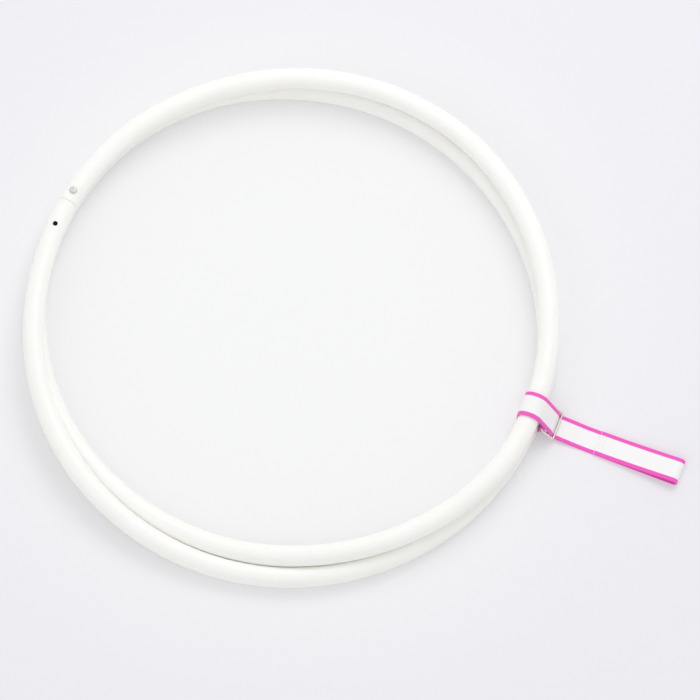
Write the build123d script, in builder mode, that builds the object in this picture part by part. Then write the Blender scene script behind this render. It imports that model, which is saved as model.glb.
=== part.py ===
"""Rhythmic gymnastics hoop, coiled to two turns and held by a webbing strap.

Millimetres. The origin is the centre of the coil on the surface that it lies on, +Z is up,
and +X points to the side that the strap is on. Bearings are degrees clockwise from +X,
seen from above.
"""

import os
from math import acos, asin, atan2, cos, degrees, hypot, radians, sin, sqrt, tan

from build123d import *

# Hoop tube
tube_od = 18.0
tube_wall = 2.2
coil_radius = 221.0  # centre line of both turns, where the strap holds them
turn_clearance = 0.1  # air between the turns where they twist fastest
bend_fill = 0.995  # share of each side of the route that its arcs take

# Joint in the tube
seam_bearing = 210.0
seam_gap = 0.2
sleeve_length = 76.0
sleeve_wall = 1.6
sleeve_clearance = 0.1

# Push button, measured along the tube from the seam
button_offset = 10.0
button_diameter = 6.3
button_fit = 0.08  # radial, in both walls
button_proud = 0.9
button_edge = 0.8
flange_diameter = 8.0
flange_thickness = 1.0
flange_clearance = 0.25

# Leaf spring under the button
spring_width = 5.0
spring_thickness = 0.5
spring_length = 30.0
spring_clearance = 0.2

# Pin that holds the sleeve in the other end of the tube
pin_offset = -24.0
pin_diameter = 4.2
pin_fit = 0.05
pin_reach = 1.2  # past the sleeve's inner wall

# Webbing strap
strap_bearing = 21.0
strap_width = 21.5
strap_thickness = 1.3
strap_clearance = 0.3
eye_lap = 8.0  # sewn end beside the run below the eye
tail_length = 111.5
tail_fold = 72.5  # doubled back on top
tail_loop_height = 9.0  # over the fold, which stays round
tail_ramp = 20.0
tail_rest = 0.1  # under the tail
tail_start_gap = 0.3

# Wire slide buckle
wire_diameter = 2.0
bar_pitch = 8.5
bar_clearance = 0.15
buckle_slope = 52.0
buckle_side_gap = 0.6
outer_bar_reach = 23.0  # outside coil_radius
outer_bar_height = 5.0

# Route of the pair of turns: bearing, how far the middle of the pair lies outside
# coil_radius, and lean. At lean 0 the second turn is straight above the first, at 90 it is
# inside it, and at 180 it is below. The strap lifts the tube where the last column is 1.
seam_side = 21.0
strap_side = 14.0
stations = [
    (strap_bearing, 0.0, 0, 1),
    (strap_bearing + strap_side, 0.0, 0, 1),
    (50.5, -2.2, 16, 0),
    (68.5, -5.2, 39, 0),
    (88.0, -7.2, 62, 0),
    (108.0, -8.3, 86, 0),
    (128.0, -7.1, 110, 0),
    (148.0, -4.5, 136, 0),
    (168.5, -2.4, 162, 0),
    (seam_bearing - seam_side, -0.4, 188, 0),
    (seam_bearing, 1.6, 188, 0),
    (seam_bearing + seam_side, 3.6, 188, 0),
    (252.0, 2.3, 185, 0),
    (272.5, 1.7, 168, 0),
    (293.0, 1.5, 156, 0),
    (313.0, 1.1, 150, 0),
    (332.0, -0.3, 159, 0),
    (350.0, -0.3, 173, 0),
    (strap_bearing + 360 - strap_side, 0.0, 180, 1),
]
seam_station = 10

tube_radius = tube_od / 2
bore_radius = tube_radius - tube_wall
largest_twist = max(abs(b[2] - a[2]) for a, b in zip(stations, stations[1:]))
turn_pitch = (tube_od + turn_clearance) / cos(radians(largest_twist / 2))

# The strap is flat across its width and the tube is curved, by this much
strap_sagitta = coil_radius - sqrt(coil_radius**2 - (strap_width / 2) ** 2)
wrap_radius = tube_radius + strap_clearance + strap_sagitta / 2 + strap_thickness / 2
wrap_x = coil_radius - strap_sagitta / 2
low_z = strap_thickness / 2 + wrap_radius
high_z = low_z + turn_pitch
strap_lift = low_z - tube_radius


def route_point(bearing, radius, height):
    """A point given by bearing, distance from the coil's centre and height."""
    return Vector(radius * cos(radians(bearing)), -radius * sin(radians(bearing)), height)


def route_corners(turn):
    """Corners of the route for the first or second turn; its arcs touch the sides."""
    corners = []
    for index, (bearing, outward, lean, lifted) in enumerate(stations):
        before = stations[index - 1][0] - (360 if index == 0 else 0)
        after = stations[index + 1][0] if index + 1 < len(stations) else stations[0][0] + 360
        spacing = (after - before) / 2
        side = turn_pitch / 2 * sin(radians(lean))
        rise = turn_pitch * cos(radians(lean))
        if turn == 1:
            radius = coil_radius + outward + side
            height = tube_radius + max(0, -rise)
        else:
            radius = coil_radius + outward - side
            height = tube_radius + max(0, rise)
        corner_radius = radius / cos(radians(spacing / 2))
        corners.append(route_point(bearing, corner_radius, height + strap_lift * lifted))
    return corners


def bend(before, corner, after):
    """Centre, radius and middle of the arc that rounds one corner of the route."""
    back = before - corner
    ahead = after - corner
    half_turn = radians(180 - back.get_angle(ahead)) / 2
    radius = bend_fill * min(back.length, ahead.length) / 2 / tan(half_turn)
    inward = (back.normalized() + ahead.normalized()).normalized()
    centre = corner + inward * (radius / cos(half_turn))
    return centre, radius, centre - inward * radius


def middle(first, second):
    return (first + second) * 0.5


def crossing_direction(first, second, reach):
    """Direction of the line that leaves the first circle on one side and joins the second
    on the other, where reach is the sum of their radii."""
    run = second - first
    return degrees(atan2(run.Y, run.X)), degrees(asin(reach / run.length))


route = route_corners(1) + route_corners(2)
count = len(route)

# The joint's arc is level, so the button presses straight down
seam_centre, seam_radius, seam_point = bend(*(route[seam_station + step] for step in (-1, 0, 1)))
seam_out = (seam_point - seam_centre).normalized()
seam_along = Vector(0, 0, 1).cross(seam_out) * -1


def along_joint(distance):
    """Point on the tube's centre line, a distance from the seam, and the outward direction."""
    angle = distance / seam_radius
    outward = seam_out * cos(angle) + seam_along * sin(angle)
    return seam_centre + outward * seam_radius, outward


def standing_plane(distance):
    """Level plane on the tube's centre line, with its X axis along the tube."""
    point, outward = along_joint(distance)
    return Plane(origin=point, x_dir=Vector(0, 0, 1).cross(outward) * -1, z_dir=(0, 0, 1))


button_plane = standing_plane(button_offset)
pin_plane = standing_plane(pin_offset)
hole_height = tube_radius + 1

with BuildPart() as hoop_tube:
    halves = (seam_station + 1, count // 2 + seam_station + 1)
    for first in halves:
        last = first + count // 2
        corners = [route[index % count] for index in range(first - 1, last + 1)]
        corners[0] = middle(corners[0], corners[1])
        corners[-1] = middle(corners[-2], corners[-1])
        sides = [route[index % count] for index in range(first - 1, last + 1)]
        radii = [bend(*sides[index - 1:index + 2])[1] for index in range(1, len(sides) - 1)]
        with BuildLine() as centre_line:
            FilletPolyline(*corners, radius=radii)
        with BuildSketch(Plane(origin=centre_line.line @ 0, z_dir=centre_line.line % 0)):
            Circle(tube_radius)
            Circle(bore_radius, mode=Mode.SUBTRACT)
        sweep()
    # The two ends meet here
    with BuildSketch(Plane(origin=seam_point, z_dir=seam_along)):
        Circle(tube_radius + turn_clearance / 2)
    extrude(amount=seam_gap / 2, both=True, mode=Mode.SUBTRACT)
    with BuildSketch(button_plane):
        Circle(button_diameter / 2 + button_fit)
    extrude(amount=hole_height, mode=Mode.SUBTRACT)
    with BuildSketch(pin_plane):
        Circle(pin_diameter / 2 + pin_fit)
    extrude(amount=hole_height, mode=Mode.SUBTRACT)
hoop_tube.part.label = "hoop_tube"

# Joint sleeve: an inner tube on the same arc, fixed in one end and plugged into the other
sleeve_radius = bore_radius - sleeve_clearance
sleeve_bore = sleeve_radius - sleeve_wall
sleeve_ends = [along_joint(distance)[0] for distance in (-sleeve_length / 2, 0, sleeve_length / 2)]

with BuildPart() as joint_sleeve:
    with BuildLine() as sleeve_line:
        ThreePointArc(*sleeve_ends)
    with BuildSketch(Plane(origin=sleeve_line.line @ 0, z_dir=sleeve_line.line % 0)):
        Circle(sleeve_radius)
        Circle(sleeve_bore, mode=Mode.SUBTRACT)
    sweep()
    with BuildSketch(button_plane):
        Circle(button_diameter / 2 + button_fit)
    extrude(amount=hole_height, mode=Mode.SUBTRACT)
    with BuildSketch(pin_plane):
        Circle(pin_diameter / 2 + pin_fit)
    extrude(amount=hole_height, mode=Mode.SUBTRACT)
joint_sleeve.part.label = "joint_sleeve"

# Push button: a domed stem with a flange that stops under the sleeve's wall
flange_radius = flange_diameter / 2
flange_top = sqrt(sleeve_bore**2 - flange_radius**2) - flange_clearance
flange_bottom = flange_top - flange_thickness

with BuildPart() as push_button:
    with BuildSketch(button_plane.offset(flange_bottom)):
        Circle(flange_radius)
    extrude(amount=flange_thickness)
    with BuildSketch(button_plane.offset(flange_bottom)):
        Circle(button_diameter / 2)
    extrude(amount=tube_radius + button_proud - flange_bottom)
    fillet(push_button.edges().group_by(Axis.Z)[-1], radius=button_edge)
push_button.part.label = "push_button"

# Leaf spring: a bent strip, its lower leg on the sleeve's floor and its upper leg under
# the button's flange
spring_ends = (-spring_length + flange_radius, flange_radius)
spring_edge = spring_width / 2 + spring_ends[0] ** 2 / (2 * seam_radius)
spring_floor = -sqrt(sleeve_bore**2 - spring_edge**2) + spring_clearance
spring_roof = flange_bottom - spring_clearance / 2
spring_plane = Plane(origin=button_plane.origin, x_dir=button_plane.x_dir,
                     z_dir=Vector(0, 0, 1).cross(button_plane.x_dir) * -1)

with BuildPart() as button_spring:
    with BuildSketch(spring_plane):
        with BuildLine():
            foot = spring_floor + spring_thickness
            Polyline(
                (spring_ends[1], spring_floor),
                (spring_ends[0], spring_floor),
                (spring_ends[0], foot + spring_thickness),
                (-flange_radius, spring_roof),
                (spring_ends[1], spring_roof),
                (spring_ends[1], spring_roof - spring_thickness),
                (-flange_radius, spring_roof - spring_thickness),
                (spring_ends[0] + spring_thickness, foot),
                (spring_ends[1], foot),
                close=True,
            )
        make_face()
    extrude(amount=spring_width / 2, both=True)
button_spring.part.label = "button_spring"

# Joint pin: flush with the crown of the tube
with BuildPart() as joint_pin:
    with BuildSketch(pin_plane.offset(sleeve_bore - pin_reach)):
        Circle(pin_diameter / 2)
    extrude(amount=tube_radius - sleeve_bore + pin_reach)
joint_pin.part.label = "joint_pin"

# Upright section through the strap: X is the distance from the coil's centre, Y is height
strap_out = route_point(strap_bearing, 1, 0)
section = Plane(origin=(0, 0, 0), x_dir=strap_out, z_dir=strap_out.cross(Vector(0, 0, 1)))

wire_radius = wire_diameter / 2
half_strap = strap_thickness / 2
loop_radius = wire_radius + bar_clearance + half_strap
down_slope = Vector(cos(radians(buckle_slope)), -sin(radians(buckle_slope)))
low_turn = Vector(wrap_x, low_z)
high_turn = Vector(wrap_x, high_z)
outer_bar = Vector(coil_radius + outer_bar_reach, outer_bar_height)
middle_bar = outer_bar - down_slope * bar_pitch
inner_bar = middle_bar - down_slope * bar_pitch


def at_angle(centre, radius, angle):
    """Point on a circle in the strap's section."""
    return centre + Vector(cos(radians(angle)), sin(radians(angle))) * radius


# Directions of the strap's straight runs, in degrees
bearing_up, swing_up = crossing_direction(low_turn, inner_bar, wrap_radius + loop_radius)
run_up = bearing_up + swing_up
drop = middle_bar - high_turn
top_normal = degrees(atan2(drop.Y, drop.X)) + degrees(
    acos((wrap_radius - loop_radius) / drop.length)
)
bearing_under, swing_under = crossing_direction(middle_bar, outer_bar, 2 * loop_radius)
under_normal = bearing_under - swing_under + 90

eye_end_angle = -80  # where the end leaves the bar for the run beside it
lap_top = at_angle(inner_bar, loop_radius, run_up + 90) - at_angle(Vector(0, 0), 2, run_up)
lap_shift = at_angle(Vector(0, 0), strap_thickness, run_up - 90)
lap_down = at_angle(Vector(0, 0), -eye_lap, run_up)

with BuildPart() as strap_band:
    with BuildSketch(section) as band_section:
        with BuildLine() as band_line:
            # Sewn end, beside the run that comes up from under the coil
            Line(lap_top + lap_shift + lap_down, lap_top + lap_shift)
            Line(lap_top + lap_shift, at_angle(inner_bar, loop_radius, eye_end_angle))
            # Eye round the inner bar
            CenterArc(inner_bar, loop_radius, eye_end_angle, run_up + 90 - eye_end_angle)
            Line(at_angle(inner_bar, loop_radius, run_up + 90),
                 at_angle(low_turn, wrap_radius, run_up - 90))
            # Under the low turn, up inside the coil and over the high turn
            CenterArc(low_turn, wrap_radius, run_up - 90, -(run_up + 90))
            Line(low_turn - Vector(wrap_radius, 0), high_turn - Vector(wrap_radius, 0))
            CenterArc(high_turn, wrap_radius, 180, top_normal - 180)
            # Down to the buckle, over its middle bar and to its outer bar
            Line(at_angle(high_turn, wrap_radius, top_normal),
                 at_angle(middle_bar, loop_radius, top_normal))
            CenterArc(middle_bar, loop_radius, top_normal, under_normal - top_normal)
            Line(at_angle(middle_bar, loop_radius, under_normal),
                 at_angle(outer_bar, loop_radius, under_normal + 180))
        trace(line_width=strap_thickness)
    extrude(amount=strap_width / 2, both=True)
strap_band.part.label = "strap_band"

# Buckle: a rounded rectangle of wire with a middle bar
buckle_point = section.from_local_coords(middle_bar)
buckle_down = section.from_local_coords(outer_bar) - buckle_point
buckle_plane = Plane(origin=buckle_point, x_dir=section.z_dir,
                     z_dir=section.z_dir.cross(buckle_down))
half_width = strap_width / 2 + buckle_side_gap + wire_radius
buckle_corner = buckle_side_gap + wire_radius  # so that the bars are straight along the strap

with BuildPart() as slide_buckle:
    with BuildLine(buckle_plane) as rim:
        FilletPolyline(
            (half_width, bar_pitch),
            (half_width, -bar_pitch),
            (-half_width, -bar_pitch),
            (-half_width, bar_pitch),
            radius=buckle_corner,
            close=True,
        )
    with BuildSketch(Plane(origin=rim.line @ 0, z_dir=rim.line % 0)):
        Circle(wire_radius)
    sweep()
    with BuildSketch(Plane(origin=buckle_point, z_dir=section.z_dir)):
        Circle(wire_radius)
    extrude(amount=half_width, both=True)
slide_buckle.part.label = "slide_buckle"

# Tail: under the outer bar, down to the surface and out, with its end doubled back on top
tail_turn = degrees(asin((outer_bar_height - loop_radius - tail_rest - half_strap) / tail_ramp))
tail_flat = Vector(
    outer_bar.X + tail_ramp * cos(radians(tail_turn)) - loop_radius * sin(radians(tail_turn)),
    tail_rest + half_strap,
)
tail_start = under_normal + 180 + degrees(tail_start_gap / loop_radius)
loop_end = Vector(outer_bar.X + tail_length - tail_loop_height / 2, tail_rest + tail_loop_height / 2)
lap_end = loop_end.X - tail_fold

with BuildPart() as strap_tail:
    with BuildSketch(section):
        with BuildLine():
            CenterArc(outer_bar, loop_radius, tail_start, 270 - tail_turn - tail_start)
            Line(at_angle(outer_bar, loop_radius, 270 - tail_turn), tail_flat)
            Line(tail_flat, (loop_end.X, tail_flat.Y))
        trace(line_width=strap_thickness)
        with BuildLine():
            Polyline(
                (lap_end, tail_rest),
                (loop_end.X, tail_rest),
                (loop_end.X, tail_rest + tail_loop_height),
                (lap_end, tail_rest + 2 * strap_thickness),
                close=True,
            )
        make_face()
        with Locations(loop_end):
            Circle(tail_loop_height / 2)
    extrude(amount=strap_width / 2, both=True)
strap_tail.part.label = "strap_tail"

pieces = [hoop_tube, joint_sleeve, push_button, button_spring, joint_pin,
          strap_band, slide_buckle, strap_tail]
os.makedirs("parts", exist_ok=True)
for piece in pieces:
    export_step(piece.part, f"parts/{piece.part.label}.step")
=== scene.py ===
"""Looks of the rhythmic gymnastics hoop, coiled to two turns and held by a webbing strap.

Metres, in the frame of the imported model: the origin is the coil's centre on the floor, +Z is
up and the strap is on the +X side.
"""

from math import acos, asin, atan2, cos, pi, radians, sin

import bpy
from mathutils import Matrix, Vector


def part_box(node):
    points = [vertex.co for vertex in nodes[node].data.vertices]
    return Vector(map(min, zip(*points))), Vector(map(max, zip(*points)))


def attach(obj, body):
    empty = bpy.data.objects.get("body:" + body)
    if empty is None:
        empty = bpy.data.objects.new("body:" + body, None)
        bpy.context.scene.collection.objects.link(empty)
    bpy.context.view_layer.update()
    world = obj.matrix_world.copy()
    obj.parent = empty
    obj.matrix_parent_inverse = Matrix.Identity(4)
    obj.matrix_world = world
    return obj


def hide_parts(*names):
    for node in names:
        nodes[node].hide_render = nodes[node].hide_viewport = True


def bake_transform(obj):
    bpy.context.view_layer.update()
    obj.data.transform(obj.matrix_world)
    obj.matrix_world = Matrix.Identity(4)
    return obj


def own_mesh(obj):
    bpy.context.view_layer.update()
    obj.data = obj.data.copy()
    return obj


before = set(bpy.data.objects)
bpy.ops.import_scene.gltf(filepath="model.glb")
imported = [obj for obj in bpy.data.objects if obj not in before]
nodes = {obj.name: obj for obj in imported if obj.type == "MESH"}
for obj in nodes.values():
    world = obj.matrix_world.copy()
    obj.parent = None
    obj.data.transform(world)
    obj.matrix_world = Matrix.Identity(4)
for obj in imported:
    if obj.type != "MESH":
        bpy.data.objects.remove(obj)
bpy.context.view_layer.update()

MM = 0.001

# ---------------------------------------------------------------- sizes

# Strap, in its upright section: X is the distance from the coil's centre, Y is height
STRAP_BEARING = radians(21.0)
STRAP_OUTWARD = Vector((cos(STRAP_BEARING), -sin(STRAP_BEARING), 0))
STRAP_WIDTH = 22.0 * MM
STRAP_THICKNESS = 1.15 * MM

# Its weave, its pink edges and its melted ends
RIB_LENGTH = 0.9 * MM
WARP_PITCH = 0.62 * MM
STRIPE_WIDTH = 3.4 * MM
STRIPE_FADE = 0.3 * MM
STRIPE_WANDER = 0.25 * MM
MELT_START = 0.6 * MM
MELT_END = 1.0 * MM
MELT_WANDER = 0.5 * MM

# Its way round the two turns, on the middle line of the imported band
COIL_RADIUS = 221.0 * MM
BAND_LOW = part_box("strap_band")[0].z
BAND_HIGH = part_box("strap_band")[1].z
BAND_HALF = 0.65 * MM
WRAP_RADIUS = 10.08 * MM
WRAP_X = COIL_RADIUS - 0.13 * MM
LOW_TURN = Vector((WRAP_X, BAND_LOW + BAND_HALF + WRAP_RADIUS))
HIGH_TURN = Vector((WRAP_X, BAND_HIGH - BAND_HALF - WRAP_RADIUS))

# Its way round the buckle's three bars, and the sewn eye on the inner one
OUTER_BAR = Vector((244.0, 5.0)) * MM
BAR_PITCH = 8.5 * MM
BAR_LOOP = 1.8 * MM
BAR_STEP = radians(12)
BUCKLE_SLOPE = radians(52)
EYE_START = radians(-75)
EYE_LAP = 8.0 * MM
EYE_BESIDE = 1.3 * MM
EYE_BELOW = 2.6 * MM

# Its tail: a ramp to the floor, a flat run, and the end doubled back over an open loop
TAIL_REST = 0.1 * MM
TAIL_RAMP = 20.0 * MM
TAIL_EASE = 6.0 * MM
TAIL_LENGTH = 113.0 * MM
TAIL_FOLD = 71.8 * MM
TAIL_LOOP = 9.0 * MM
TAIL_CLOSING = 1.7
LAYER_GAP = 0.12 * MM
LOOP_STEP = radians(18)
FLAT_PARTS = 8
FOLD_PARTS = 14
TAIL_SKEW = radians(1.1)
SKEW_FROM = 3.0 * MM

# Leaf spring under the push button: X runs along the tube from the button, Y is height
BUTTON_LOW, BUTTON_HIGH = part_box("push_button")
SPRING_LOW, SPRING_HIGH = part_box("button_spring")
SPRING_BEARING = radians(58.8)
SPRING_ALONG = Vector((cos(SPRING_BEARING), sin(SPRING_BEARING), 0))
SPRING_BACK = 26.0 * MM
SPRING_FRONT = 4.0 * MM
SPRING_WIDTH = 5.0 * MM
SPRING_THICKNESS = 0.5 * MM
SPRING_BEND = 0.4 * MM
SPRING_SLOPE = radians(9)

# Stitches, with the rows' distances from the strap's two ends
THREAD_RADIUS = 0.19 * MM
THREAD_SUNK = 0.07 * MM
STITCH_LENGTH = 2.1 * MM
STITCH_PITCH = 2.55 * MM
STITCH_DIP = 2.2 * THREAD_RADIUS
STITCH_CUTS = 7
STITCHES_PER_ROW = 6
EYE_ROWS = (1.8 * MM, 5.6 * MM)
TAIL_ROWS = (2.5 * MM, 6.0 * MM)
# The rows under the tail are set a little high, so that their thread clears the floor
UNDER_ROW_HEIGHT = TAIL_REST + 0.65 * MM


# ---------------------------------------------------------------- shading helpers


def link(tree, source, target):
    tree.links.new(source, target)


def feed(tree, made, inputs):
    """Sets a node's inputs, each to a value or to a link from another node's output."""
    for name, value in inputs.items():
        if isinstance(value, bpy.types.NodeSocket):
            link(tree, value, made.inputs[name])
        else:
            made.inputs[name].default_value = value


def node(tree, kind, inputs=None, **settings):
    """A shader node with its settings and its input values or links."""
    made = tree.nodes.new(kind)
    for name, value in settings.items():
        setattr(made, name, value)
    feed(tree, made, inputs or {})
    return made


def math_node(tree, operation, first, second=0.0, third=0.0):
    """Output of a Math node."""
    return node(tree, "ShaderNodeMath", {0: first, 1: second, 2: third},
                operation=operation).outputs[0]


def ramp(tree, value, low, high, low_out=0.0, high_out=1.0):
    """Output of a Map Range node, smooth between low and high."""
    return node(tree, "ShaderNodeMapRange",
                {"Value": value, "From Min": low, "From Max": high,
                 "To Min": low_out, "To Max": high_out},
                interpolation_type="SMOOTHSTEP").outputs["Result"]


def mix_colour(tree, factor, first, second):
    """Output of a colour Mix node."""
    return node(tree, "ShaderNodeMix", {0: factor, 6: first, 7: second},
                data_type="RGBA").outputs[2]


def new_group(name, inputs, outputs):
    """An empty shader node group with named sockets: (name, kind, default) inputs and
    (name, kind) outputs."""
    group = bpy.data.node_groups.new(name, "ShaderNodeTree")
    for socket_name, kind, default in inputs:
        socket = group.interface.new_socket(socket_name, in_out="INPUT", socket_type=kind)
        if default is not None:
            socket.default_value = default
    for socket_name, kind in outputs:
        group.interface.new_socket(socket_name, in_out="OUTPUT", socket_type=kind)
    return group, group.nodes.new("NodeGroupInput"), group.nodes.new("NodeGroupOutput")


def place_group(tree, group, inputs):
    """A copy of a node group in a material."""
    return node(tree, "ShaderNodeGroup", inputs, node_tree=group)


def add_bump(tree, shader, height, strength, distance):
    """Raises a shader's surface by a height, through a Bump node."""
    bump = node(tree, "ShaderNodeBump",
                {"Height": height, "Strength": strength, "Distance": distance})
    link(tree, bump.outputs["Normal"], shader.inputs["Normal"])


def new_material(name):
    """A material with its Principled shader, ready for its own nodes."""
    material = bpy.data.materials.new(name)
    material.use_nodes = True
    tree = material.node_tree
    return material, tree, tree.nodes["Principled BSDF"]


def handling_marks_group():
    """Soft rubbed patches and a fine grain, made the same way for every hard surface."""
    group, given, made = new_group(
        "handling_marks",
        [("Vector", "NodeSocketVector", None), ("Patch size", "NodeSocketFloat", 0.02),
         ("Grain size", "NodeSocketFloat", 0.0006)],
        [("Rubbed", "NodeSocketFloat"), ("Grain", "NodeSocketFloat")],
    )
    patch_scale = math_node(group, "DIVIDE", 1.0, given.outputs["Patch size"])
    grain_scale = math_node(group, "DIVIDE", 1.0, given.outputs["Grain size"])
    patches = node(group, "ShaderNodeTexNoise",
                   {"Vector": given.outputs["Vector"], "Scale": patch_scale, "Detail": 4.0,
                    "Roughness": 0.6})
    grain = node(group, "ShaderNodeTexNoise",
                 {"Vector": given.outputs["Vector"], "Scale": grain_scale, "Detail": 2.0})
    link(group, ramp(group, patches.outputs["Fac"], 0.38, 0.68), made.inputs["Rubbed"])
    link(group, grain.outputs["Fac"], made.inputs["Grain"])
    return group


def fine_scratches_group():
    """Hairline scratches in two directions."""
    group, given, made = new_group(
        "fine_scratches",
        [("Vector", "NodeSocketVector", None), ("Scale", "NodeSocketFloat", 1.0)],
        [("Scratches", "NodeSocketFloat")],
    )
    layers = []
    for turn, stretch in ((0.35, 900.0), (1.9, 1300.0)):
        placed = node(group, "ShaderNodeMapping",
                      {"Vector": given.outputs["Vector"], "Rotation": (0.2, turn, turn * 1.7),
                       "Scale": (stretch, 18.0, 25.0)})
        sized = node(group, "ShaderNodeVectorMath",
                     {0: placed.outputs["Vector"], "Scale": given.outputs["Scale"]},
                     operation="SCALE")
        lines = node(group, "ShaderNodeTexNoise",
                     {"Vector": sized.outputs["Vector"], "Scale": 1.0, "Detail": 1.0})
        layers.append(ramp(group, lines.outputs["Fac"], 0.66, 0.74))
    link(group, math_node(group, "MAXIMUM", layers[0], layers[1]), made.inputs["Scratches"])
    return group


HANDLING_MARKS = handling_marks_group()
FINE_SCRATCHES = fine_scratches_group()


def object_vector(tree):
    return node(tree, "ShaderNodeTexCoord").outputs["Object"]


# ---------------------------------------------------------------- materials


def tube_plastic():
    """White extruded tube: faint draw lines round the coil, rubbed patches, a few scratches."""
    material, tree, shader = new_material("white_tube_plastic")
    place = object_vector(tree)
    marks = place_group(tree, HANDLING_MARKS, {"Vector": place, "Patch size": 0.035})
    scratches = place_group(tree, FINE_SCRATCHES, {"Vector": place, "Scale": 0.8})
    # Draw lines run along the tube: fine across it, long round the coil
    split = node(tree, "ShaderNodeSeparateXYZ", {"Vector": place})
    flat = node(tree, "ShaderNodeCombineXYZ",
                {"X": split.outputs["X"], "Y": split.outputs["Y"]})
    reach = node(tree, "ShaderNodeVectorMath", {0: flat.outputs[0]}, operation="LENGTH")
    bearing = math_node(tree, "ARCTAN2", split.outputs["Y"], split.outputs["X"])
    drawn = node(tree, "ShaderNodeCombineXYZ",
                 {"X": math_node(tree, "MULTIPLY", bearing, 2.0),
                  "Y": math_node(tree, "MULTIPLY", reach.outputs["Value"], 2600.0),
                  "Z": math_node(tree, "MULTIPLY", split.outputs["Z"], 2600.0)})
    lines = node(tree, "ShaderNodeTexNoise",
                 {"Vector": drawn.outputs[0], "Scale": 1.0, "Detail": 2.0})
    clean = (0.98, 0.974, 0.938, 1.0)
    handled = (0.96, 0.95, 0.905, 1.0)
    colour = mix_colour(tree, math_node(tree, "MULTIPLY", marks.outputs["Rubbed"], 0.5),
                        clean, handled)
    link(tree, colour, shader.inputs["Base Color"])
    rough = math_node(tree, "MULTIPLY_ADD", marks.outputs["Rubbed"], 0.12, 0.38)
    rough = math_node(tree, "MULTIPLY_ADD", scratches.outputs["Scratches"], 0.15, rough)
    link(tree, rough, shader.inputs["Roughness"])
    height = math_node(tree, "MULTIPLY_ADD", scratches.outputs["Scratches"], -0.5,
                       lines.outputs["Fac"])
    add_bump(tree, shader, height, 0.12, 0.04 * MM)
    shader.inputs["IOR"].default_value = 1.5
    shader.inputs["Subsurface Weight"].default_value = 0.2
    shader.inputs["Subsurface Radius"].default_value = (1.0, 0.85, 0.6)
    shader.inputs["Subsurface Scale"].default_value = 0.006
    return material


def moulded_plastic(name, colour, roughness, gloss=0.5):
    """Moulded plastic with a fine spark-eroded grain."""
    material, tree, shader = new_material(name)
    place = object_vector(tree)
    marks = place_group(tree, HANDLING_MARKS,
                        {"Vector": place, "Patch size": 0.006, "Grain size": 0.0003})
    dusty = tuple(0.8 * c + 0.02 for c in colour[:3]) + (1.0,)
    link(tree, mix_colour(tree, marks.outputs["Rubbed"], colour, dusty),
         shader.inputs["Base Color"])
    link(tree, math_node(tree, "MULTIPLY_ADD", marks.outputs["Rubbed"], 0.15, roughness),
         shader.inputs["Roughness"])
    add_bump(tree, shader, marks.outputs["Grain"], 0.25, 0.05 * MM)
    shader.inputs["Specular IOR Level"].default_value = gloss
    return material


def bright_metal(name, colour, roughness, scratch_size):
    """Plated or polished metal with hairline scratches and slightly duller rubbed patches."""
    material, tree, shader = new_material(name)
    place = object_vector(tree)
    marks = place_group(tree, HANDLING_MARKS,
                        {"Vector": place, "Patch size": 0.004, "Grain size": 0.0004})
    scratches = place_group(tree, FINE_SCRATCHES, {"Vector": place, "Scale": scratch_size})
    dull = tuple(0.86 * c for c in colour[:3]) + (1.0,)
    link(tree, mix_colour(tree, marks.outputs["Rubbed"], colour, dull),
         shader.inputs["Base Color"])
    rough = math_node(tree, "MULTIPLY_ADD", marks.outputs["Rubbed"], 0.1, roughness)
    rough = math_node(tree, "MULTIPLY_ADD", scratches.outputs["Scratches"], 0.12, rough)
    link(tree, rough, shader.inputs["Roughness"])
    add_bump(tree, shader, scratches.outputs["Scratches"], 0.15, 0.03 * MM)
    shader.inputs["Metallic"].default_value = 1.0
    return material


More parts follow.
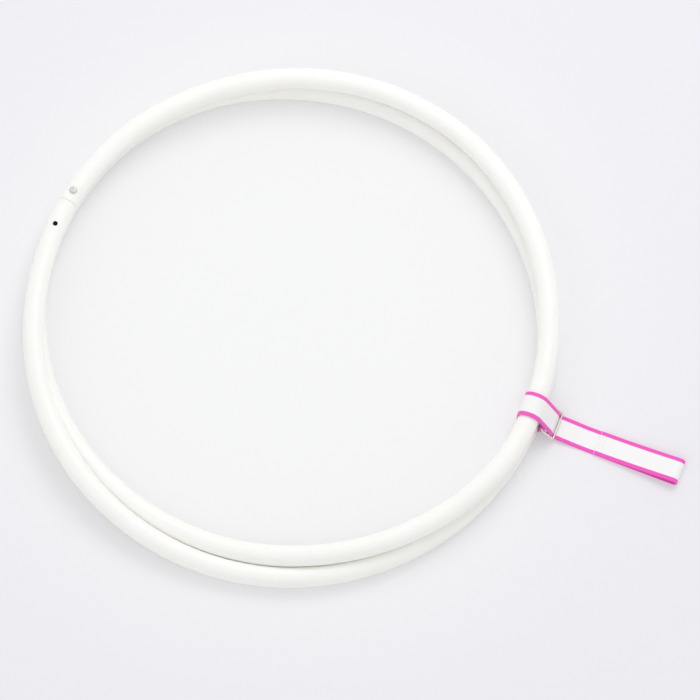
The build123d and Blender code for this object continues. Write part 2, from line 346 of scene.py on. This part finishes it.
def strap_webbing(length):
    """White ribbed webbing with a pink stripe woven along each edge, its two cut ends melted
    shut. The UV map runs along the strap in U and across it in V, both in metres."""
    material, tree, shader = new_material("striped_webbing")
    uv = node(tree, "ShaderNodeUVMap", uv_map="strip_run").outputs["UV"]
    split = node(tree, "ShaderNodeSeparateXYZ", {"Vector": uv})
    along, across = split.outputs["X"], split.outputs["Y"]
    # Ribs across the strap and warp threads along it
    rib = math_node(tree, "SINE", math_node(tree, "MULTIPLY", along, 2 * pi / RIB_LENGTH))
    rib_row = math_node(tree, "FLOOR", math_node(tree, "DIVIDE", along, RIB_LENGTH / 2))
    shift = math_node(tree, "MULTIPLY", math_node(tree, "MODULO", rib_row, 2.0), pi)
    warp = math_node(tree, "SINE", math_node(
        tree, "MULTIPLY_ADD", across, 2 * pi / WARP_PITCH, shift))
    weave = math_node(tree, "MULTIPLY_ADD", warp, 0.45, math_node(tree, "MULTIPLY", rib, 0.55))
    fuzz = node(tree, "ShaderNodeTexNoise",
                {"Vector": uv, "Scale": 3500.0, "Detail": 3.0, "Roughness": 0.7})
    wander = node(tree, "ShaderNodeTexNoise", {"Vector": uv, "Scale": 260.0, "Detail": 2.0})
    # How far from the nearer edge, wandering a little as dyed threads do
    centre = math_node(tree, "SUBTRACT", across, STRAP_WIDTH / 2)
    inward = math_node(tree, "SUBTRACT", STRAP_WIDTH / 2,
                       math_node(tree, "ABSOLUTE", centre))
    inward = math_node(tree, "MULTIPLY_ADD", wander.outputs["Fac"], STRIPE_WANDER, inward)
    stripe = ramp(tree, inward, STRIPE_WIDTH, STRIPE_WIDTH + STRIPE_FADE, 1.0, 0.0)
    white = mix_colour(tree, ramp(tree, fuzz.outputs["Fac"], 0.35, 0.65),
                       (0.97, 0.965, 0.975, 1.0), (0.935, 0.925, 0.94, 1.0))
    pink = mix_colour(tree, ramp(tree, fuzz.outputs["Fac"], 0.3, 0.7),
                      (0.95, 0.12, 0.61, 1.0), (0.89, 0.08, 0.51, 1.0))
    colour = mix_colour(tree, stripe, white, pink)
    # Where it was cut hot the threads have run together, pale and glossy
    to_cut = math_node(tree, "MINIMUM", along, math_node(tree, "SUBTRACT", length, along))
    uneven = math_node(tree, "MULTIPLY_ADD", fuzz.outputs["Fac"], MELT_WANDER, to_cut)
    melted = ramp(tree, uneven, MELT_START, MELT_END, 1.0, 0.0)
    colour = mix_colour(tree, math_node(tree, "MULTIPLY", melted, 0.55), colour,
                        (0.93, 0.8, 0.88, 1.0))
    # Painted shade: the colour is darkened to 0.93 of itself in the weave's hollows, where
    # shade would fall.
    shade = ramp(tree, weave, -1.0, 0.3, 0.93, 1.0)
    shaded = node(tree, "ShaderNodeVectorMath", {0: colour, "Scale": shade},
                  operation="SCALE")
    link(tree, shaded.outputs["Vector"], shader.inputs["Base Color"])
    link(tree, math_node(tree, "MULTIPLY_ADD", melted, -0.3,
                         ramp(tree, weave, -1.0, 1.0, 0.85, 0.6)), shader.inputs["Roughness"])
    height = math_node(tree, "MULTIPLY_ADD", fuzz.outputs["Fac"], 0.25, weave)
    add_bump(tree, shader, height, 0.5, 0.12 * MM)
    shader.inputs["Sheen Weight"].default_value = 0.3
    shader.inputs["Sheen Roughness"].default_value = 0.4
    return material


def sewing_thread():
    """White polyester thread with its twist."""
    material, tree, shader = new_material("sewing_thread")
    place = object_vector(tree)
    twist = node(tree, "ShaderNodeTexWave",
                 {"Vector": place, "Scale": 900.0, "Distortion": 1.5, "Detail": 1.0},
                 bands_direction="DIAGONAL")
    link(tree, mix_colour(tree, twist.outputs["Fac"], (0.86, 0.83, 0.85, 1.0),
                          (0.66, 0.63, 0.66, 1.0)), shader.inputs["Base Color"])
    link(tree, ramp(tree, twist.outputs["Fac"], 0.0, 1.0, 0.45, 0.65),
         shader.inputs["Roughness"])
    add_bump(tree, shader, twist.outputs["Fac"], 0.4, 0.05 * MM)
    return material


# ---------------------------------------------------------------- the strap's line


def on_circle(centre, radius, angle):
    return centre + Vector((cos(angle), sin(angle))) * radius


def arc(centre, radius, start, end, step=radians(7)):
    """Points round an arc, its ends among them."""
    pieces = max(2, round(abs(end - start) / step))
    return [on_circle(centre, radius, start + (end - start) * i / pieces)
            for i in range(pieces + 1)]


def strap_line():
    """The strap's middle line in its upright section, from the sewn end to the cut end."""
    down = Vector((cos(BUCKLE_SLOPE), -sin(BUCKLE_SLOPE)))
    middle_bar = OUTER_BAR - down * BAR_PITCH
    inner_bar = middle_bar - down * BAR_PITCH

    def crossing(first, second, reach):
        """The direction from first to second, and how far a tangent line swings from it."""
        run = second - first
        return atan2(run.y, run.x), asin(reach / run.length)

    bearing, swing = crossing(LOW_TURN, inner_bar, WRAP_RADIUS + BAR_LOOP)
    run_up = bearing + swing
    drop = middle_bar - HIGH_TURN
    top_normal = atan2(drop.y, drop.x) + acos((WRAP_RADIUS - BAR_LOOP) / drop.length)
    bearing, swing = crossing(middle_bar, OUTER_BAR, 2 * BAR_LOOP)
    under_normal = bearing - swing + pi / 2

    up = Vector((cos(run_up), sin(run_up)))
    beside = Vector((up.y, -up.x)) * EYE_BESIDE
    lap_top = on_circle(inner_bar, BAR_LOOP, run_up + pi / 2) - up * EYE_BELOW + beside
    points = [lap_top - up * EYE_LAP, lap_top - up * EYE_LAP / 2, lap_top]
    points += arc(inner_bar, BAR_LOOP, EYE_START, run_up + pi / 2, BAR_STEP)
    points += arc(LOW_TURN, WRAP_RADIUS, run_up - pi / 2, -pi)
    points += arc(HIGH_TURN, WRAP_RADIUS, pi, top_normal)
    points += arc(middle_bar, BAR_LOOP, top_normal, under_normal, BAR_STEP)
    # Under the outer bar and down to the floor
    floor = TAIL_REST + STRAP_THICKNESS / 2
    sink = asin((OUTER_BAR.y - BAR_LOOP - floor) / TAIL_RAMP)
    leave = 3 * pi / 2 - sink
    points += arc(OUTER_BAR, BAR_LOOP, under_normal + pi, leave, BAR_STEP)
    start = on_circle(OUTER_BAR, BAR_LOOP, leave)
    end_x = OUTER_BAR.x + TAIL_LENGTH
    loop = TAIL_LOOP / 2 - STRAP_THICKNESS / 2
    loop_centre = Vector((end_x - TAIL_LOOP / 2, TAIL_REST + TAIL_LOOP / 2))
    flat_start = start.x + TAIL_RAMP + TAIL_EASE
    for share in (0.3, 0.6, 0.85):
        ease = share * share * (3 - 2 * share)
        points.append(Vector((start.x + (flat_start - start.x) * share,
                              start.y + (floor - start.y) * (0.35 * share + 0.65 * ease))))
    for i in range(FLAT_PARTS):
        share = i / FLAT_PARTS
        points.append(Vector((flat_start + (loop_centre.x - flat_start) * share, floor)))
    points += arc(loop_centre, loop, -pi / 2, pi / 2, LOOP_STEP)
    # Back over the top, closing down on to the lower layer
    lap_x = loop_centre.x - TAIL_FOLD
    rest = floor + STRAP_THICKNESS + LAYER_GAP
    for i in range(1, FOLD_PARTS + 1):
        share = i / FOLD_PARTS
        height = rest + (loop_centre.y + loop - rest) * (1 - share) ** TAIL_CLOSING
        points.append(Vector((loop_centre.x + (lap_x - loop_centre.x) * share, height)))
    return points


def tidy_line(points, least=0.05 * MM):
    """The points without any that fall on the one before."""
    kept = [points[0]]
    for point in points[1:]:
        if (point - kept[-1]).length > least:
            kept.append(point)
    return kept


def line_length(points):
    return sum((b - a).length for a, b in zip(points, points[1:]))


def along_line(points, distance):
    """The point at a distance from the line's start, and the line's direction there."""
    for first, second in zip(points, points[1:]):
        side = second - first
        if distance <= side.length:
            return first + side * (distance / side.length), side.normalized()
        distance -= side.length
    return points[-1], (points[-1] - points[-2]).normalized()


# ---------------------------------------------------------------- modelling helpers


def deselect():
    if bpy.context.object and bpy.context.object.mode != "OBJECT":
        bpy.ops.object.mode_set(mode="OBJECT")
    bpy.ops.object.select_all(action="DESELECT")


def choose(piece):
    deselect()
    piece.select_set(True)
    bpy.context.view_layer.objects.active = piece


def apply_place(piece):
    choose(piece)
    bpy.ops.object.transform_apply(location=True, rotation=True, scale=True)


def apply_modifiers(piece):
    choose(piece)
    for modifier in list(piece.modifiers):
        bpy.ops.object.modifier_apply(modifier=modifier.name)


def dress(piece, material):
    piece.data.materials.clear()
    piece.data.materials.append(material)


def upright_matrix(along):
    """Places an upright section: its X goes along the given direction, Y up and Z across."""
    up = Vector((0, 0, 1))
    return Matrix((along, up, along.cross(up))).transposed().to_4x4()


# ---------------------------------------------------------------- pieces


def skew_tail(piece, from_x=0.0):
    """Turns what lies beyond from_x a little askew about the buckle's outer bar."""
    pivot = STRAP_OUTWARD * OUTER_BAR.x
    choose(piece)
    bpy.ops.object.mode_set(mode="EDIT")
    bpy.ops.mesh.select_all(action="DESELECT")
    bpy.ops.object.mode_set(mode="OBJECT")
    for vertex in piece.data.vertices:
        vertex.select = vertex.co.dot(STRAP_OUTWARD) > from_x
    bpy.ops.object.mode_set(mode="EDIT")
    bpy.ops.transform.rotate(value=TAIL_SKEW, orient_axis="Z", orient_type="GLOBAL",
                             center_override=pivot)
    bpy.ops.object.mode_set(mode="OBJECT")


def bend_strip(name, points, width, thickness, row_length, columns, soft_edge):
    """A strip in its upright section: a flat grid bent along a line, then given thickness."""
    line = bpy.data.curves.new("strip_line", "CURVE")
    line.dimensions = "2D"
    spline = line.splines.new("POLY")
    spline.points.add(len(points) - 1)
    for point, place in zip(spline.points, points):
        point.co = (place.x, place.y, 0, 1)
    length = line_length(points)
    guide = bpy.data.objects.new("strip_line", line)
    bpy.context.scene.collection.objects.link(guide)

    deselect()
    bpy.ops.mesh.primitive_grid_add(x_subdivisions=round(length / row_length),
                                    y_subdivisions=columns, size=1)
    strip = bpy.context.object
    strip.name = name
    strip.dimensions = (length, width, 0)
    strip.rotation_euler = (pi / 2, 0, 0)
    strip.location = (length / 2, 0, 0)
    apply_place(strip)
    layer = strip.data.uv_layers[0]
    layer.name = "strip_run"
    for loop in strip.data.loops:
        place = strip.data.vertices[loop.vertex_index].co
        layer.data[loop.index].uv = (place.x, place.z + width / 2)
    bend = strip.modifiers.new("bend", "CURVE")
    bend.object = guide
    bend.deform_axis = "POS_X"
    wall = strip.modifiers.new("wall", "SOLIDIFY")
    wall.thickness = thickness
    wall.offset = 0
    wall.use_even_offset = True
    edge = strip.modifiers.new("soft_edge", "BEVEL")
    edge.limit_method = "ANGLE"
    edge.angle_limit = radians(60)
    edge.width = soft_edge
    edge.segments = 2
    apply_modifiers(strip)
    bpy.data.objects.remove(guide)
    return strip


def make_strap(points, material):
    """One length of webbing from its sewn end, round both turns and the buckle, to its tail."""
    strap = bend_strip("webbing_strap", points, STRAP_WIDTH, STRAP_THICKNESS,
                       row_length=0.8 * MM, columns=20, soft_edge=0.3 * MM)
    strap.matrix_world = upright_matrix(STRAP_OUTWARD)
    apply_place(strap)
    skew_tail(strap, OUTER_BAR.x + SKEW_FROM)
    bpy.ops.object.shade_smooth_by_angle(angle=radians(50))
    dress(strap, material)
    return strap


def make_leaf_spring(material):
    """A strip folded back on itself inside the sleeve: one leg on the sleeve's floor, the
    other sloping up to lie flat under the button."""
    height = SPRING_HIGH.z - SPRING_LOW.z
    half = SPRING_THICKNESS / 2
    bend_centre = Vector((-SPRING_BACK + half + SPRING_BEND, half + SPRING_BEND))
    points = [Vector((SPRING_FRONT, half))]
    points += arc(bend_centre, SPRING_BEND, -pi / 2, -3 * pi / 2 + SPRING_SLOPE, LOOP_STEP)
    points += [Vector((-SPRING_FRONT, height - half)), Vector((SPRING_FRONT, height - half))]
    spring = bend_strip("button_leaf_spring", points[::-1], SPRING_WIDTH, SPRING_THICKNESS,
                        row_length=0.3 * MM, columns=4, soft_edge=0.12 * MM)
    under_button = (BUTTON_LOW + BUTTON_HIGH) / 2
    under_button.z = SPRING_LOW.z
    spring.matrix_world = Matrix.Translation(under_button) @ upright_matrix(SPRING_ALONG)
    apply_place(spring)
    bpy.ops.object.shade_smooth_by_angle(angle=radians(35))
    dress(spring, material)
    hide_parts("button_spring")
    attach(spring, "hoop")
    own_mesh(spring)


def make_stitch_row():
    """A row of stitches across the strap, along X and bulging along Z: one thread, arched,
    then repeated."""
    deselect()
    bpy.ops.mesh.primitive_cylinder_add(vertices=8, radius=THREAD_RADIUS, depth=STITCH_LENGTH,
                                        end_fill_type="TRIFAN", rotation=(0, pi / 2, 0))
    row = bpy.context.object
    apply_place(row)
    bpy.ops.object.mode_set(mode="EDIT")
    bpy.ops.mesh.select_all(action="DESELECT")
    bpy.ops.object.mode_set(mode="OBJECT")
    for edge in row.data.edges:
        ends = [row.data.vertices[i].co.x for i in edge.vertices]
        edge.select = abs(ends[0] - ends[1]) > STITCH_LENGTH / 2
    bpy.ops.object.mode_set(mode="EDIT")
    bpy.ops.mesh.subdivide(number_cuts=STITCH_CUTS)
    bpy.ops.object.mode_set(mode="OBJECT")
    for vertex in row.data.vertices:
        share = vertex.co.x / (STITCH_LENGTH / 2)
        vertex.co.z -= STITCH_DIP * share ** 4
    repeat = row.modifiers.new("repeat", "ARRAY")
    repeat.count = STITCHES_PER_ROW
    repeat.use_relative_offset = False
    repeat.use_constant_offset = True
    repeat.constant_offset_displace = (STITCH_PITCH, 0, 0)
    apply_modifiers(row)
    row.location = (-STITCH_PITCH * (STITCHES_PER_ROW - 1) / 2, 0, 0)
    apply_place(row)
    return row


def make_stitches(name, rows, material):
    """Rows of stitches on the strap's faces. Each is a point of the strap's section and the
    direction that the face looks in."""
    pattern = make_stitch_row()
    across = Vector((0, 0, 1))
    pieces = []
    for place, normal in rows:
        choose(pattern)
        bpy.ops.object.duplicate()
        row = bpy.context.object
        up = normal.to_3d()
        turned = Matrix((across, up.cross(across), up)).transposed().to_4x4()
        spot = place + normal * (STRAP_THICKNESS / 2 - THREAD_SUNK)
        moved = Matrix.Translation(spot.to_3d())
        row.matrix_world = upright_matrix(STRAP_OUTWARD) @ moved @ turned
        apply_place(row)
        pieces.append(row)
    bpy.data.objects.remove(pattern)
    deselect()
    for row in pieces:
        row.select_set(True)
    bpy.context.view_layer.objects.active = pieces[0]
    bpy.ops.object.join()
    stitches = bpy.context.object
    stitches.name = name
    bpy.ops.object.shade_smooth_by_angle(angle=radians(60))
    dress(stitches, material)
    return stitches


def face_rows(points, distances, side):
    """Rows at distances from the line's start, on the face to its left (1) or right (-1)."""
    rows = []
    for distance in distances:
        place, ahead = along_line(points, distance)
        rows.append((place, Vector((-ahead.y, ahead.x)) * side))
    return rows


# ---------------------------------------------------------------- build

strap_points = tidy_line(strap_line())
strap = make_strap(strap_points, strap_webbing(line_length(strap_points)))
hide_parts("strap_band", "strap_tail")
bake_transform(strap)

thread = sewing_thread()
# The sewn end: on its outer face
eye_rows = face_rows(strap_points, EYE_ROWS, -1)
eye_stitches = make_stitches("eye_stitches", eye_rows, thread)
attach(eye_stitches, "strap")
# The doubled-back end: on its top, and under the layer that it is sewn to
tail_rows = face_rows(strap_points[::-1], TAIL_ROWS, 1)
tail_rows += [(Vector((place.x, UNDER_ROW_HEIGHT)), Vector((0, -1))) for place, _ in tail_rows]
tail_stitches = make_stitches("tail_stitches", tail_rows, thread)
skew_tail(tail_stitches)
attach(tail_stitches, "tail")

dress(nodes["hoop_tube"], tube_plastic())
dress(nodes["joint_sleeve"], moulded_plastic("sleeve_plastic", (0.05, 0.05, 0.055, 1.0), 0.45))
# The flush pin is near-black with almost no gloss: painted to read as dark as the shade inside
# an open hole.
dress(nodes["joint_pin"], moulded_plastic("pin_plastic_painted_hole_shade", (0.002, 0.002, 0.002, 1.0), 0.8, 0.1))
dress(nodes["push_button"], bright_metal("button_steel", (0.7, 0.7, 0.69, 1.0), 0.24, 1.2))
make_leaf_spring(bright_metal("spring_steel", (0.5, 0.5, 0.5, 1.0), 0.3, 1.0))
dress(nodes["slide_buckle"], bright_metal("buckle_nickel", (0.88, 0.85, 0.8, 1.0), 0.15, 2.0))


# ---------------------------------------------------------------- stage, light and camera


def make_floor():
    """A wide pale floor that keeps the hoop's shadow. What the camera and reflections see is
    lifted to a pale ground, with a painted pool of light that makes it brightest at the middle;
    the light that it bounces isn't."""
    deselect()
    bpy.ops.mesh.primitive_plane_add(size=12, location=(0, 0, 0))
    floor = bpy.context.object
    floor.name = "studio_floor"
    material, tree, shader = new_material("studio_floor")
    out = tree.nodes["Material Output"]
    place = object_vector(tree)
    reach = node(tree, "ShaderNodeVectorMath", {0: place}, operation="LENGTH")
    # Painted pool of light: the floor's colour and its glow are brightest at the middle and
    # fall off out to 0.42 m, where the colour also turns a little lavender.
    edge = ramp(tree, reach.outputs["Value"], 0.08, 0.42)
    link(tree, mix_colour(tree, edge, (0.635, 0.64, 0.648, 1.0), (0.6, 0.598, 0.625, 1.0)),
         shader.inputs["Base Color"])
    shader.inputs["Roughness"].default_value = 0.9
    shader.inputs["Specular IOR Level"].default_value = 0.0
    lift_with_painted_light_pool = mix_colour(tree, edge, (0.265, 0.265, 0.268, 1.0), (0.235, 0.232, 0.252, 1.0))
    glow = node(tree, "ShaderNodeEmission", {"Strength": 1.0, "Color": lift_with_painted_light_pool})
    lifted = tree.nodes.new("ShaderNodeAddShader")
    link(tree, shader.outputs[0], lifted.inputs[0])
    link(tree, glow.outputs[0], lifted.inputs[1])
    rays = node(tree, "ShaderNodeLightPath")
    seen = math_node(tree, "MAXIMUM", rays.outputs["Is Camera Ray"],
                     math_node(tree, "MAXIMUM", rays.outputs["Is Glossy Ray"],
                               rays.outputs["Is Transmission Ray"]))
    paper = node(tree, "ShaderNodeBsdfDiffuse", {"Color": (0.93, 0.92, 0.915, 1.0)})
    mixed = tree.nodes.new("ShaderNodeMixShader")
    link(tree, seen, mixed.inputs[0])
    link(tree, paper.outputs[0], mixed.inputs[1])
    link(tree, lifted.outputs[0], mixed.inputs[2])
    link(tree, mixed.outputs[0], out.inputs["Surface"])
    dress(floor, material)


def make_lamp(name, place, size, power, target=Vector((0, 0, 0))):
    lamp = bpy.data.lights.new(name, "AREA")
    lamp.shape = "DISK"
    lamp.size = size
    lamp.energy = power
    holder = bpy.data.objects.new(name, lamp)
    bpy.context.scene.collection.objects.link(holder)
    holder.location = place
    holder.rotation_euler = (target - place).to_track_quat("-Z", "Y").to_euler()


def make_lights():
    make_lamp("key_softbox", Vector((0.7, 1.5, 2.2)), 1.6, 20.5)
    make_lamp("fill_softbox", Vector((-1.6, -1.2, 2.0)), 1.8, 6.2)
    world = bpy.data.worlds.new("studio")
    world.use_nodes = True
    background = world.node_tree.nodes["Background"]
    background.inputs["Color"].default_value = (1.0, 0.998, 0.99, 1.0)
    background.inputs["Strength"].default_value = 0.795
    bpy.context.scene.world = world


def make_camera():
    """Above the near side, 71 degrees over the floor, with a long lens."""
    elevation = radians(71.2)
    roll = radians(-0.4)
    distance = 6.0
    target = Vector((0.0506, -0.0215, 0.018))
    data = bpy.data.cameras.new("camera")
    data.sensor_width = 36
    data.lens = 360.2
    camera = bpy.data.objects.new("camera", data)
    bpy.context.scene.collection.objects.link(camera)
    back = Vector((0, -cos(elevation), sin(elevation)))
    side = Vector((1, 0, 0))
    up = back.cross(side)
    right = side * cos(roll) + up * sin(roll)
    turned = Matrix((right, back.cross(right), back)).transposed().to_4x4()
    camera.matrix_world = Matrix.Translation(target + back * distance) @ turned
    bpy.context.scene.camera = camera


make_floor()
make_lights()
make_camera()
bpy.context.scene.view_settings.view_transform = "Standard"
